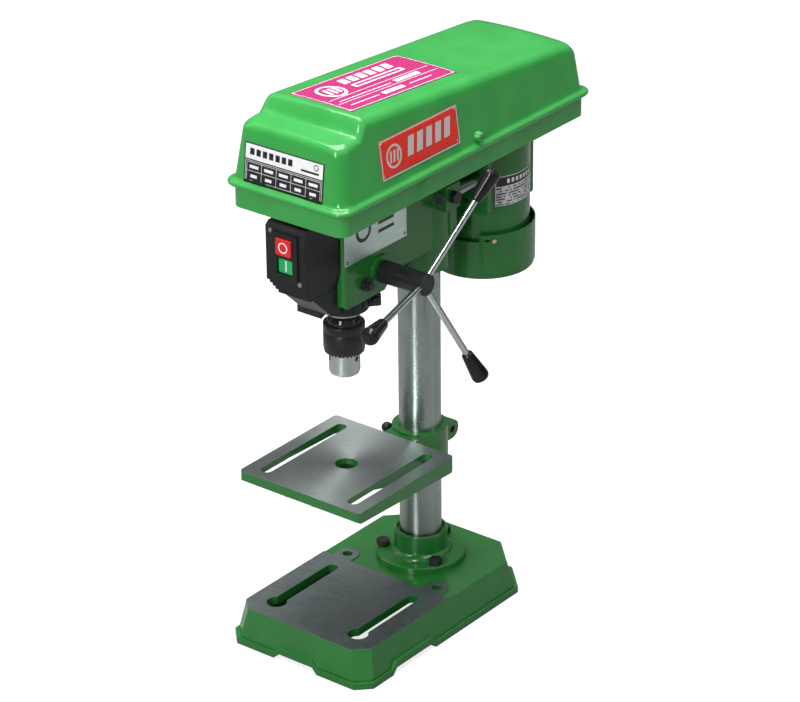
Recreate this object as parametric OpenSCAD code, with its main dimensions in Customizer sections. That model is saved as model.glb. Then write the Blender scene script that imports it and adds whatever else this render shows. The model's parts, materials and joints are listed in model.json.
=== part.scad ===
// Bench drill press: cast base, round column, sliding table, belt-driven head.
// Frame: origin on the bench plane under the column's axis, +X to the operator's
// right, +Y to the back, +Z up. Millimetres.

/* [Column] */
// Outside diameter of the column
column_d = 46; // [44:1:48]
// Wall of the column tube
column_wall = 3.2; // [2.5:0.1:5]
// Height of the column's top end
column_top = 505; // [495:1:507]
// Outside diameter of the bolted flange
flange_d = 100; // [96:1:106]

/* [Base] */
// Width of the base's top
base_w = 173; // [170:1:190]
// Height of the machined pad above the bench
base_h = 42; // [40:1:46]
// How far the top reaches in front of the column's axis
base_front = 211; // [205:1:220]
// How far the top reaches behind the column's axis
base_back = 73; // [68:1:80]
// How far the bottom rim stands out beyond the top
base_flare = 9; // [7:0.5:10]
// Height of the lip round the foot
lip_h = 7.5; // [6:0.5:9]
// How far the foot's arches rise above the bench
arch_rise = 7; // [4:0.5:8]

/* [Table] */
// Side of the square table
table_w = 162; // [150:1:165]
// Height of the table's top at rest
table_z = 205; // [190:1:220]
// Distance from the column's axis to the table's centre
throat = 127; // [125:1:129]
// Thickness of the table's plate
table_plate = 7; // [6:0.5:9]

/* [Head] */
// Width of the head casting
head_w = 60; // [58:1:62]
// Underside of the head casting's front block
head_z = 404.5; // [402:0.5:406]
// Underside of the pulley pan
pan_z = 515; // [515:1:517]
// Diameter of the quill
quill_d = 40; // [40:1:41]
// Height of the pinion's axis
pinion_z = 428.5; // [426:0.5:431]

/* [Motor] */
// Distance from the column's axis to the motor's axis
motor_y = 113; // [111:1:115]
// Diameter of the motor's shell
motor_d = 102; // [99:1:103]
// Diameter of the fan cover
fan_cover_d = 114; // [112:1:116]

/* [Feed handle] */
// Radius of the circle that the handle's tips run on
handle_r = 132; // [120:1:140]
// Diameter of a handle rod
rod_d = 7; // [6:0.5:8]

/* [Hidden] */

$fn = 64;
paint = [0.13, 0.42, 0.20];
lid_paint = [0.22, 0.58, 0.30];
steel = [0.75, 0.76, 0.78];
black = [0.06, 0.06, 0.07];
play = 0.05;
eps = 0.01;

column_r = column_d / 2;
spindle_y = -throat;
table_rim = 6;
head_x = head_w / 2;
head_front = spindle_y - 35;
quill_r = quill_d / 2;
quill_bottom = 384;
quill_top = 496;
chuck_bottom = 312.5;
chuck_top = 382.5;
ball_od = 32;

gear_module = 1.25;
pinion_teeth = 13;
addendum = 0.75 * gear_module;
dedendum = gear_module;
pinion_r = gear_module * pinion_teeth / 2;
rack_pitch = PI * gear_module;
rack_line = quill_r - 2.75;
pinion_y = spindle_y + rack_line + pinion_r;

cover_screw_angles = [-41, 79, 199];
cover_screw_z = 401.7;
cover_rim = 408;
plate_y = 52;

bar_x = 38;
bar_z = 480;
bar_r = 7;
rod_x = -38;
stop_rod_y = spindle_y - 11;

pan_x = 73;
pan_front = -215.5;
pan_back = 199.6;
pan_top = 537.5;
lid_z = 538;
bead_x = 79.5;
bead_front = -222;
bead_back = 206;
hinge_x = -83;
hinge_z = 537.8;
hinge_ys = [-130, 100];
lid_screw_y = 6.5;
lid_screw_z = 553;
lid_spot_x = 72.4;

step_h = 10;
pulley_z = 522;
step_rs = [56, 48.5, 41, 33.5, 26];
belt_step = 2;

jaw_tilt = 15;
jaw_r = 3.5;
jaw_face = 5;
jaw_axis_r = 7.3;
jaw_z = 316;
jaw_angles = [60, 180, 300];

red_span = [479.7, 498];
green_span = [458.6, 475.5];

ear_y = 42;
ear_z = table_z - 25;
handle_angles = [55, 180.5, 295];
handle_x = 84.5;
handle_lean = 14.2;

// ---- shared shapes ---------------------------------------------------------

// Stands a YZ outline up and extrudes it along X, centred on x.
module along_x(width, x = 0)
    translate([x - width / 2, 0, 0]) rotate([90, 0, 90]) linear_extrude(width) children();

// Stands an XZ outline up and extrudes it along +Y from y.
module along_y(length, y = 0)
    translate([0, y + length, 0]) rotate([90, 0, 0]) linear_extrude(length) children();

module rod_x(r, x0, x1, y, z) translate([x0, y, z]) rotate([0, 90, 0]) cylinder(r = r, h = x1 - x0);
module rod_y(r, y0, y1, x, z) translate([x, y1, z]) rotate([90, 0, 0]) cylinder(r = r, h = y1 - y0);
module rod_z(r, z0, z1, x = 0, y = 0) translate([x, y, z0]) cylinder(r = r, h = z1 - z0);
module block(low, high) translate(low) cube(high - low);

module ring_z(r_out, r_in, z0, z1, x = 0, y = 0)
    difference() {
        rod_z(r_out, z0, z1, x, y);
        rod_z(r_in, z0 - 1, z1 + 1, x, y);
    }

module round_rect(x0, x1, y0, y1, r)
    union() {
        translate([x0 + r, y0]) square([x1 - x0 - 2 * r, y1 - y0]);
        translate([x0, y0 + r]) square([x1 - x0, y1 - y0 - 2 * r]);
        for (x = [x0 + r, x1 - r], y = [y0 + r, y1 - r]) translate([x, y]) circle(r);
    }

module hex_head(across, height) cylinder(d = across / cos(30), h = height, $fn = 6);

// ---- base and column -------------------------------------------------------

function base_outline(grow) = let (
        x = base_w / 2 + grow, f = -base_front - grow, b = base_back + grow,
        cf = 15, cb = 31)
    [[-x + cf, f], [x - cf, f], [x, f + cf], [x, b - cb],
     [x - cb, b], [-x + cb, b], [-x, b - cb], [-x, f + cf]];

module base_layer(grow, z, h = eps)
    translate([0, 0, z]) linear_extrude(h) polygon(base_outline(grow));

module arch(span, rise)
    polygon([[-span / 2, -1], [span / 2, -1], [span / 2 - rise, rise], [rise - span / 2, rise]]);

// What stands in the foot's arches when they are this much larger.
module foot_arches(grow) {
    along_x(400) translate([-134, 0]) arch(76 + 2 * grow, arch_rise + grow);
    along_y(60, -base_front - 40) arch(61 + 2 * grow, arch_rise + grow);
}

// The lip round the foot, which steps up over the arches.
module foot_lip()
    difference() {
        union() {
            base_layer(base_flare, 0, lip_h);
            intersection() {
                base_layer(base_flare, 0, arch_rise + lip_h);
                foot_arches(lip_h);
            }
        }
        foot_arches(0);
    }

module base_slot(x) {
    rod_z(11, 0, base_h + 1, x, -181);
    rod_z(6.5, 0, base_h + 1, x, -87);
    block([x - 6.5, -181, 0], [x + 6.5, -87, base_h + 1]);
}

module work_pad() {
    linear_extrude(2.5) difference() {
        union() {
            intersection() {
                polygon(base_outline(0));
                translate([-base_w / 2, -base_front]) square([base_w, base_front - 63]);
            }
            for (s = [-1, 1]) {
                translate([s * 62, -52]) circle(13);
                translate([s * 62 - 13, -66]) square([26, 14]);
            }
        }
        circle(flange_d / 2 + 6);
    }
}

module base() {
    deck = base_h - 1.5;
    wall = 8;
    color(paint) difference() {
        union() {
            hull() {
                base_layer(base_flare - 3, arch_rise + 1);
                base_layer(0, deck - eps);
            }
            foot_lip();
            translate([0, 0, base_h - 2.5]) work_pad();
        }
        hull() {
            base_layer(base_flare - 3 - wall, -1);
            base_layer(-wall, deck - wall);
        }
        for (s = [-1, 1]) {
            base_slot(s * 56);
            rod_z(5.5, 0, base_h + 1, s * 62, -52);
        }
        for (a = [90, 210, 330]) rotate(a) rod_z(4, 20, base_h + 1, 42);
    }
}

module column_flange() {
    z = base_h - 1.5;
    r = flange_d / 2;
    color(paint) difference() {
        rotate_extrude() polygon([
            [column_r, z], [r, z], [r, z + 6.5], [r - 1.5, z + 8], [r - 15, z + 8],
            [33, z + 11], [30, z + 12.5], [29.3, z + 15], [29.3, z + 33], [28.3, z + 34.5],
            [26, z + 34.5], [26, z + 30.5], [column_r, z + 30.5]]);
        for (a = [90, 210, 330]) rotate(a) rod_z(4, z - 1, z + 20, 42);
    }
}

module flange_bolts()
    color(black) for (a = [90, 210, 330]) rotate(a) translate([42, 0, 0]) {
        rod_z(4, 26, base_h + 7);
        translate([0, 0, base_h + 6.5]) cylinder(r = 6.8, h = 1.2);
        translate([0, 0, base_h + 7.7]) hex_head(13, 5.3);
    }

module column()
    color(steel) ring_z(column_r, column_r - column_wall, base_h - 1.5, column_top);

// ---- table -----------------------------------------------------------------

module table() {
    front = spindle_y - table_w / 2 + 1;
    back = front + table_w;
    collar_low = table_z - 48;
    under = table_z - table_plate;
    hole_back = spindle_y + 19;
    hollow_x = table_w / 2 - table_rim;
    color(paint) difference() {
        union() {
            difference() {
                intersection() {
                    along_x(table_w) polygon([
                        [front, table_z], [front, table_z - 11], [front + 3, table_z - 12.5],
                        [back - 5, table_z - 18], [back, table_z - 14], [back, table_z]]);
                    linear_extrude(400)
                        round_rect(-table_w / 2, table_w / 2, front, back, 5);
                }
                linear_extrude(under)
                    round_rect(-hollow_x, hollow_x, front + table_rim, back - table_rim, 4);
            }
            for (s = [-1, 1]) along_x(6, s * 18) polygon([
                [-20, collar_low + 1], [-20, under + 1], [front + 1, under + 1],
                [front + 1, table_z - 12], [front + 30, table_z - 15], [back - 20, collar_low + 3]]);
            along_x(36) polygon([
                [-20, collar_low + 1], [-20, under + 1], [hole_back, under + 1],
                [hole_back, table_z - 33], [back - 20, collar_low + 3]]);
            rod_z(30.5, collar_low, table_z - 3);
            for (s = [-1, 1]) {
                rod_x(11, s > 0 ? 1.5 : -12, s > 0 ? 12 : -1.5, ear_y, ear_z);
                block([s > 0 ? 1.5 : -12, 20, ear_z - 11], [s > 0 ? 12 : -1.5, ear_y, ear_z + 11]);
            }
        }
        rod_z(column_r + play, collar_low - 1, table_z + 1);
        block([-1.5, 20, collar_low - 1], [1.5, 60, table_z + 1]);
        rod_x(4.1, -20, 20, ear_y, ear_z);
        rod_z(12, collar_low, table_z + 1, 0, spindle_y);
        for (s = [-1, 1]) {
            for (y = [-188, -64.5]) rod_z(6.5, 150, table_z + 1, s * 58.5, y);
            block([s * 58.5 - 6.5, -188, 150], [s * 58.5 + 6.5, -64.5, table_z + 1]);
        }
    }
}

module clamp_bolt()
    color(black) {
        rod_x(4, -17, 10, ear_y, ear_z);
        rod_x(8, -13.2, -12.1, ear_y, ear_z);
    }

module clamp_lever() {
    grip = [-41, -6, ear_z + 6];
    hub = [-21, ear_y, ear_z];
    arm = grip - hub;
    length = norm(arm);
    color(black) {
        difference() {
            rod_x(8, -28, -13.3, ear_y, ear_z);
            rod_x(4 + play, -17, -13, ear_y, ear_z);
        }
        translate(hub) rotate([0, acos(arm[2] / length), atan2(arm[1], arm[0])]) {
            translate([0, 0, 6]) cylinder(r1 = 4.5, r2 = 3.6, h = length - 6);
            translate([0, 0, length]) sphere(6);
        }
    }
}

// ---- head casting ----------------------------------------------------------

module casting_outline()
    polygon([
        [head_front, pan_z], [head_front, head_z + 4], [head_front + 4, head_z],
        [-96, head_z], [-78, 421], [24, 421], [31, 428], [31, pan_z]]);

module head_casting()
    color(paint) difference() {
        union() {
            intersection() {
                along_x(head_w) casting_outline();
                linear_extrude(600) round_rect(-head_x, head_x, head_front, 31, 5);
            }
            rod_z(34, 393, pan_z);
            rod_x(18, head_x - 1, head_x + 3, pinion_y, pinion_z);
            for (s = [-1, 1])
                block([s > 0 ? 28 : -46, -12, bar_z - 14], [s > 0 ? 46 : -28, 12, bar_z + 14]);
            block([-47, stop_rod_y - 9, 430], [-29, stop_rod_y + 9, 438]);
        }
        rod_z(quill_r + play, 380, 497, 0, spindle_y);
        rod_z(14.5, 490, 505, 0, spindle_y);
        rod_z(17.5, 500, 520, 0, spindle_y);
        rod_z(column_r + play, 380, 508);
        rod_x(10 + play, -12, 40, pinion_y, pinion_z);
        rod_x(8 + play, -40, -11, pinion_y, pinion_z);
        block([-21, -84, 434], [21, -38, 520]);
        for (s = [-1, 1]) {
            rod_y(bar_r + play, -20, 20, s * bar_x, bar_z);
            for (y = [-100, 24]) rod_z(2.5, 500, 520, s * 25, y);
        }
        rod_x(4 + play, bar_x, 50, 0, bar_z);
        rod_z(4.4, 420, 445, rod_x, stop_rod_y);
        rod_x(4, 10, 50, spindle_y - 2, 423);
        for (z = [410, 450]) rod_y(4, 15, 40, 0, z);
    }

module pan_screws()
    color(steel) for (x = [-25, 25], y = [-100, 24]) {
        rod_z(2.5, 505, pan_z + 2.5, x, y);
        rod_z(4.5, pan_z + 2.5, pan_z + 5.5, x, y);
    }

module set_screws()
    color(black) for (z = [410, 450]) difference() {
        rod_y(4, 24, 37, 0, z);
        translate([0, 34, z]) rotate([-90, 0, 0]) hex_head(4, 5);
    }

module guide_screw()
    color(black) {
        rod_x(3, 17.6, 24, spindle_y - 2, 423);
        rod_x(4, 21, 40, spindle_y - 2, 423);
        translate([head_x, spindle_y - 2, 423]) rotate([0, 90, 0]) hex_head(13, 5.5);
    }

module side_plate()
    color(steel) block([head_x, head_front + 0.5, 453], [head_x + 0.8, -59.5, pan_z - 0.5]);

module small_screws()
    color(steel) {
        for (p = [[head_front + 4, 457], [-63, 457]])
            translate([head_x + 0.8, p[0], p[1]]) rotate([0, 90, 0]) cylinder(r1 = 2, r2 = 1.4, h = 1);
        for (p = [[-18.5, 503], [18.5, 452]]) rod_y(2.6, -219, -216, p[0], p[1]);
    }

module spring_cap()
    color(black) difference() {
        rod_x(25, -48, -head_x, pinion_y, pinion_z);
        rod_x(22.5, -45.5, -head_x + 1, pinion_y, pinion_z);
        rod_x(5.1, -49, -44, pinion_y, pinion_z);
    }

function spiral(a, grow) = let (r = 7 + 14 * a / 2160 + grow) [r * cos(a), r * sin(a)];

module return_spring()
    color(steel) along_x(11, -38) translate([pinion_y, pinion_z])
        polygon(concat([for (a = [0:20:2160]) spiral(a, 0)],
            [for (a = [2160:-20:0]) spiral(a, 0.6)]));

// ---- pulley case -----------------------------------------------------------

module pan_layer(inset, z, h)
    translate([0, 0, z]) linear_extrude(h)
        round_rect(inset - pan_x, pan_x - inset, pan_front + inset, pan_back - inset, 12 - inset);

module pulley_pan()
    color(paint) difference() {
        union() {
            difference() {
                pan_layer(0, pan_z, pan_top - pan_z);
                pan_layer(2.2, pan_z + 2.5, 40);
            }
            block([60, lid_screw_y - 6.5, pan_z + 1], [63, lid_screw_y + 6.5, lid_screw_z + 7]);
        }
        rod_z(20, pan_z - 1, pan_z + 4, 0, spindle_y);
        for (y = [motor_y - 14, motor_y + 4]) rod_z(14, pan_z - 1, pan_z + 4, 0, y);
        block([-14, motor_y - 14, pan_z - 1], [14, motor_y + 4, pan_z + 4]);
        for (x = [-25, 25], y = [-100, 24]) rod_z(2.5, pan_z - 1, pan_z + 4, x, y);
        block([58, lid_screw_y - 2.8, lid_screw_z - 2.8], [65, lid_screw_y + 2.8, 570]);
    }

module pan_hinges()
    color(steel) for (y = hinge_ys) {
        difference() {
            union() {
                rod_y(3, y, y + 19.8, hinge_x, hinge_z);
                block([hinge_x, y, hinge_z - 3], [-pan_x, y + 19.8, hinge_z - 1.5]);
                block([-pan_x - 1.5, y, 524], [-pan_x, y + 19.8, hinge_z - 1.5]);
            }
            rod_y(1.5, y - 1, y + 21, hinge_x, hinge_z);
        }
        rod_y(1.5, y, y + 40, hinge_x, hinge_z);
    }

// The lid seen from the side and from the front, grown by a distance.
function lid_side(grow) = [
    [-214.5 - grow, lid_z + 1.5], [-214.5 - grow, 546], [-208 - grow, 605 + grow], [-181, 607 + grow],
    [-167, 627 + grow], [184, 603 + grow], [191 + grow, 588], [196 + grow, 546], [196 + grow, lid_z + 1.5]];

function lid_half(grow) = [
    [75 + grow, lid_z + 1.5], [64 + grow, 617], [57, 623 + grow], [28, 626 + grow], [0, 627 + grow]];

// Outer form of the lid, grown by a distance; a negative one gives the inside.
module lid_form(grow) {
    half = lid_half(grow);
    intersection() {
        along_x(200) polygon(lid_side(grow));
        along_y(500, -250) polygon(concat(half, [for (i = [3:-1:0]) [-half[i][0], half[i][1]]]));
        translate([0, 0, lid_z]) linear_extrude(100)
            round_rect(-75 - grow, 75 + grow, -214.5 - grow, 196 + grow, 10 + grow);
    }
}

module lid()
    color(lid_paint) difference() {
        union() {
            lid_form(0);
            translate([0, 0, lid_z]) linear_extrude(7)
                round_rect(-bead_x, bead_x, bead_front, bead_back, 16);
        }
        lid_form(-2);
        translate([0, 0, lid_z - 1]) linear_extrude(4) round_rect(-70, 70, -208, 190, 12);
        rod_x(2.8, 60, 90, lid_screw_y, lid_screw_z);
        rod_x(6.3, lid_spot_x, 90, lid_screw_y, lid_screw_z);
    }

module lid_hinges()
    color(steel) for (y = hinge_ys) difference() {
        union() {
            rod_y(3, y + 20.2, y + 40, hinge_x, hinge_z);
            block([hinge_x, y + 20.2, hinge_z + 0.8], [-bead_x, y + 40, hinge_z + 3]);
            block([-bead_x - 1.2, y + 20.2, lid_z], [-bead_x, y + 40, lid_z + 7]);
        }
        rod_y(1.5 + play, y, y + 41, hinge_x, hinge_z);
    }

module lid_skin(low, high)
    intersection() {
        difference() {
            lid_form(0.7);
            lid_form(0);
        }
        block(low, high);
    }

module top_label() color([0.85, 0.2, 0.4]) lid_skin([-38.5, -160, 600], [41, 13, 640]);
module side_label() color([0.9, 0.1, 0.08]) lid_skin([50, -150, 555], [90, -23, 596]);
module front_label() color(black) lid_skin([-55, -230, lid_z + 8], [47, -205, 588]);

module lid_screw()
    color(lid_paint) {
        rod_x(2.5, 57, lid_spot_x + 2, lid_screw_y, lid_screw_z);
        difference() {
            translate([lid_spot_x + 0.1, lid_screw_y, lid_screw_z]) rotate([0, 90, 0])
                cylinder(r1 = 6, r2 = 5, h = 7);
            translate([lid_spot_x + 6, lid_screw_y, lid_screw_z]) block([0, -8, -0.6], [2, 8, 0.6]);
        }
    }

// ---- pulleys and belt ------------------------------------------------------

function groove(r, z) = [
    [r, z], [r, z + 0.25], [r - 7, z + 2.5], [r - 7, z + 7.5], [r, z + 9.75], [r, z + step_h]];

module cone_pulley(radii, bore, y)
    translate([0, y, 0]) rotate_extrude() polygon(concat(
        [[bore, pulley_z]],
        [for (i = [0:4]) each groove(radii[i], pulley_z + i * step_h)],
        [[bore, pulley_z + 5 * step_h]]));

module spindle_pulley() color(steel) cone_pulley(step_rs, 9, spindle_y);
module motor_pulley() color(steel) cone_pulley([for (i = [4:-1:0]) step_rs[i]], 6, motor_y);

module drive_sleeve()
    color(steel) translate([0, spindle_y, 0]) difference() {
        union() {
            rod_z(7.5 - 0.03, 500.5, 520);
            rod_z(9, 518, pulley_z + 5 * step_h + 4);
        }
        rod_z(5.5 + play, 490, 600);
    }

module drive_bearings()
    color(steel) for (z = [500, 507.5]) ring_z(17.5, 7.5, z, z + 7.5, 0, spindle_y);

module drive_belt() {
    r = step_rs[belt_step];
    z = pulley_z + (belt_step + 0.5) * step_h;
    section = [[r - 6.4, z - 2.2], [r - 0.5, z - 4.1], [r - 0.5, z + 4.1], [r - 6.4, z + 2.2]];
    color(black) {
        translate([0, motor_y, 0]) rotate_extrude(angle = 180) polygon(section);
        translate([0, spindle_y, 0]) rotate([0, 0, 180]) rotate_extrude(angle = 180) polygon(section);
        along_y(motor_y - spindle_y, spindle_y) polygon(section);
        mirror([1, 0, 0]) along_y(motor_y - spindle_y, spindle_y) polygon(section);
    }
}

// ---- switch ----------------------------------------------------------------

module switch_box()
    color(black) difference() {
        union() {
            along_x(51.2) polygon([
                [head_front, 511], [-213, 511], [-218, 507], [-218, 447], [head_front, 447]]);
            for (i = [1:4])
                block([-25.6 + 1.2 * i, -218 + 3 * i, 447 - 4.6 * i],
                      [25.6 - 1.2 * i, head_front, 448 - 4.6 * (i - 1)]);
            along_x(42) polygon([
                [-203, 430], [-172, 400], [head_front, 401], [head_front, 430]]);
            block([-16.5, -220, 453], [16.5, -217, 503]);
        }
        for (b = [red_span, green_span])
            block([-10.05, -222, b[0] - 0.15], [10.05, -212, b[1] + 0.15]);
        for (p = [[-18.5, 503], [18.5, 452]]) rod_y(2.6, -219, -216, p[0], p[1]);
    }

module button(front, span) block([-9.9, front, span[0]], [9.9, -215.2, span[1]]);
module red_button() color([0.85, 0.08, 0.1]) button(-222, red_span);
module green_button() color([0.1, 0.65, 0.3]) button(-217.5, green_span);

module cable_gland()
    color(black) difference() {
        union() {
            rod_x(7, -44, -head_x, -60, 470);
            translate([-37, -60, 470]) rotate([0, 90, 0]) hex_head(17, 7);
        }
        rod_x(4, -45, -32, -60, 470);
    }

// ---- quill, spindle and chuck ----------------------------------------------

module quill()
    color(steel) difference() {
        ring_z(quill_r, 9, quill_bottom, quill_top, 0, spindle_y);
        rod_z(ball_od / 2, quill_bottom - 1, quill_bottom + 10, 0, spindle_y);
        rod_z(ball_od / 2, quill_top - 10, quill_top + 1, 0, spindle_y);
        block([-30, spindle_y + rack_line + addendum, pinion_z - 9.5],
              [30, spindle_y + quill_r + 1, pinion_z + 58.5]);
        for (k = [-2:13]) along_x(40) rack_gap(pinion_z + (k + 0.5) * rack_pitch);
        block([quill_r - 3, spindle_y - 5.2, 418], [quill_r + 1, spindle_y + 1.2, 478]);
    }

module rack_gap(z) {
    half = rack_pitch / 4 + 0.1;
    line = spindle_y + rack_line;
    flare = 2 * tan(20);
    polygon([
        [line - dedendum, z - half + dedendum * tan(20)], [line + 2, z - half - flare],
        [line + 2, z + half + flare], [line - dedendum, z + half - dedendum * tan(20)]]);
}

module quill_bearings()
    color(steel) for (z = [quill_bottom, quill_top - 10])
        ring_z(ball_od / 2, 6.03, z, z + 10, 0, spindle_y);

module stop_collar()
    color(black) difference() {
        union() {
            rod_z(26.5, 389, 402, 0, spindle_y);
            translate([0, 0, 389.5]) linear_extrude(6.5) polygon([
                [2, -166], [-30, -166], [-46, stop_rod_y - 8], [-46, stop_rod_y + 8], [-15, -112]]);
            translate([0, spindle_y, 0]) rotate(52) block([22, -8.5, 389], [38, 8.5, 402]);
        }
        rod_z(quill_r, 380, 410, 0, spindle_y);
        translate([0, spindle_y, 0]) rotate(52) {
            block([15, -1.2, 380], [40, 1.2, 410]);
            rod_y(2.5, -12, 12, 32.5, 395.5);
        }
        rod_z(4, 380, 410, rod_x, stop_rod_y);
    }

module stop_rod()
    color(steel) rod_z(4, 387, 511, rod_x, stop_rod_y);

module collar_screw()
    color(black) translate([0, spindle_y, 0]) rotate(52) {
        rod_y(2.5, -8.5, 8, 32.5, 395.5);
        rod_y(4.5, -13, -8.5, 32.5, 395.5);
    }

module stop_nuts()
    color(steel) for (z = [490, 498]) difference() {
        translate([rod_x, stop_rod_y, z]) hex_head(13, 6.8);
        rod_z(4 + play, z - 1, z + 9, rod_x, stop_rod_y);
    }

module spindle()
    color(steel) translate([0, spindle_y, 0]) {
        translate([0, 0, 357]) cylinder(r1 = 6.9, r2 = 7.9, h = chuck_top - 357);
        rod_z(7.9, chuck_top, quill_bottom - 0.5);
        rod_z(6, quill_bottom - 1, quill_top + 1);
        rod_z(5.5, quill_top, 573);
    }

// An upright cylinder leaned outwards, along which one jaw slides.
module jaw_way(r, low, high, angle)
    translate([0, spindle_y, 0]) rotate(angle) translate([jaw_axis_r, 0, jaw_z])
        rotate([0, jaw_tilt, 0]) translate([0, 0, low]) cylinder(r = r, h = high - low);

module chuck_body()
    color(black) difference() {
        translate([0, spindle_y, 0]) rotate_extrude() polygon([
            [6.8, chuck_bottom], [12.5, chuck_bottom], [15.3, chuck_bottom + 1.8], [16.5, chuck_bottom + 5],
            [16.5, 339], [18.4, 339.5], [18.4, 372], [17.9, 375.5], [16, 379], [13, chuck_top - 0.8],
            [10, chuck_top], [7.9, chuck_top], [6.9, 357], [6.9, 351], [6.8, 351]]);
        for (a = jaw_angles) jaw_way(jaw_r + play, -12, 29.5, a);
        for (a = [0, 120, 240])
            translate([0, spindle_y, 0]) rotate(a) rod_x(3, 10.5, 20, 0, 333);
    }

module chuck_sleeve()
    color(black) translate([0, spindle_y, 0]) rotate_extrude() polygon([
        [18.4 + play, 340], [20, 338.3], [21, 339.3], [22, 342.5], [22, 370.5], [21.2, 372.4],
        [18.4 + play, 372.4]]);

module chuck_jaw(angle)
    color(steel) intersection() {
        jaw_way(jaw_r, -12, 40, angle);
        translate([0, spindle_y, 314]) rotate(angle) linear_extrude(24)
            polygon([[jaw_face, 1.1], [jaw_face, -1.1], [22, -30], [22, 30]]);
    }

module chuck_jaw_1() chuck_jaw(jaw_angles[0]);
module chuck_jaw_2() chuck_jaw(jaw_angles[1]);
module chuck_jaw_3() chuck_jaw(jaw_angles[2]);

// ---- feed handle -----------------------------------------------------------

base_circle = pinion_r * cos(20);
function roll(r) = sqrt(max(pow(r / base_circle, 2) - 1, 0)) * 180 / PI - acos(min(base_circle / r, 1));
function flank(r) = 90 / pinion_teeth - 0.8 + roll(pinion_r) - roll(r);
tip_r = pinion_r + addendum;
root_r = pinion_r - dedendum;
flank_rs = [root_r, base_circle, 8, 8.5, tip_r];

function pinion_tooth(middle) = concat(
    [for (r = flank_rs) [r * cos(middle - flank(r)), r * sin(middle - flank(r))]],
    [for (i = [4:-1:0]) let (r = flank_rs[i]) [r * cos(middle + flank(r)), r * sin(middle + flank(r))]]);

module pinion_shaft()
    color(steel) {
        along_x(17) translate([pinion_y, pinion_z]) polygon([
            for (i = [0:pinion_teeth - 1]) each pinion_tooth(180 + (i + 0.5) * 360 / pinion_teeth)]);
        rod_x(6.5, -14, 16, pinion_y, pinion_z);
        rod_x(10, 14, head_x + 3.5, pinion_y, pinion_z);
        rod_x(8, -head_x, -12.2, pinion_y, pinion_z);
        rod_x(5, -46, -head_x + 1, pinion_y, pinion_z);
    }

// Places a child, drawn along +Z, along one of the feed handle's rods.
module on_rod(angle)
    translate([handle_x, pinion_y, pinion_z]) rotate([angle - 90, 0, 0])
        rotate([0, handle_lean, 0]) children();

module feed_hub()
    color(black) difference() {
        union() {
            rod_x(12, head_x + 3.5, 90, pinion_y, pinion_z);
            translate([90, pinion_y, pinion_z]) rotate([0, 90, 0]) cylinder(r1 = 12, r2 = 11, h = 1);
        }
        for (a = handle_angles) on_rod(a) translate([0, 0, 5]) cylinder(d = rod_d, h = 20);
    }

module feed_rods()
    color(steel) for (a = handle_angles) on_rod(a) translate([0, 0, 5])
        cylinder(d = rod_d, h = handle_r + 1);

module feed_knobs() {
    tip = handle_r / cos(handle_lean);
    color(black) for (a = handle_angles) on_rod(a) rotate_extrude() polygon([
        [rod_d / 2, tip - 36], [5.2, tip - 36], [6.2, tip - 34.5], [9.2, tip - 8], [9.5, tip - 4],
        [8.6, tip - 1.2], [6.5, tip + 0.3], [rod_d / 2, tip + 0.8]]);
}

// ---- motor -----------------------------------------------------------------

module motor_bars()
    color(steel) for (s = [-1, 1]) rod_y(bar_r, -14, plate_y, s * bar_x, bar_z);

module motor_plate()
    color(paint) difference() {
        along_y(7, plate_y) round_rect(-52, 52, 440, 506, 6);
        for (x = [-24, 24], z = [452, 494]) rod_y(3, plate_y - 1, plate_y + 8, x, z);
    }

module motor_shell()
    color(paint) difference() {
        union() {
            rod_z(motor_d / 2, 396, 500, 0, motor_y);
            translate([0, motor_y, 500]) cylinder(r1 = motor_d / 2, r2 = 36, h = 7);
            translate([0, motor_y, 390]) cylinder(r1 = 38, r2 = motor_d / 2, h = 6);
            block([-34, plate_y + 7, 446], [34, motor_y, 500]);
            for (a = cover_screw_angles) translate([0, motor_y, 0]) rotate(a)
                block([motor_d / 2 - 4, -5, 398], [fan_cover_d / 2 - 1.6, 5, 405]);
        }
        rod_z(motor_d / 2 - 5, 397, 495, 0, motor_y);
        rod_z(13, 392, 400, 0, motor_y);
        rod_z(13, 490, 503, 0, motor_y);
        rod_z(8, 380, 510, 0, motor_y);
    }

module stator()
    color([0.45, 0.3, 0.2]) ring_z(motor_d / 2 - 5, 24.6, 425, 475, 0, motor_y);

module motor_bearings()
    color(steel) {
        ring_z(13, 6.03, 392, 399, 0, motor_y);
        ring_z(13, 6.03, 495, 503, 0, motor_y);
    }

module fan_cover() {
    r = fan_cover_d / 2;
    color(paint) difference() {
        union() {
            rod_z(r, 360.5, cover_rim, 0, motor_y);
            rod_z(r - 1.5, 356.5, 361, 0, motor_y);
        }
        rod_z(r - 1.5, 362, cover_rim + 1, 0, motor_y);
        rod_z(r - 3.5, 359, 363, 0, motor_y);
        block([-31, motor_y - 60, cover_rim - 8], [31, motor_y - 40, cover_rim + 1]);
        for (a = cover_screw_angles) translate([0, motor_y, 0]) rotate(a - 7)
            block([r - 4, -3, cover_screw_z - 1.2], [r + 1, 3, cover_screw_z + 1.2]);
        for (a = [0:45:315], hole_r = [22, 36])
            rod_z(3.2, 350, 360, hole_r * cos(a), motor_y + hole_r * sin(a));
    }
}

module cover_screws()
    color([0.7, 0.6, 0.3]) for (a = cover_screw_angles)
        translate([0, motor_y, cover_screw_z]) rotate(a) rod_x(2.5, fan_cover_d / 2, fan_cover_d / 2 + 2.2, 0, 0);

module motor_label()
    color(black) translate([0, motor_y, 438.5]) rotate(-38.5) rotate_extrude(angle = 66)
        translate([motor_d / 2, 0]) square([0.6, 34]);

module capacitor_box()
    color(paint) difference() {
        along_x(34, -1) round_rect(motor_y + 41, motor_y + 71, 415, 500, 3);
        rod_z(motor_d / 2, 400, 510, 0, motor_y);
    }

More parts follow.
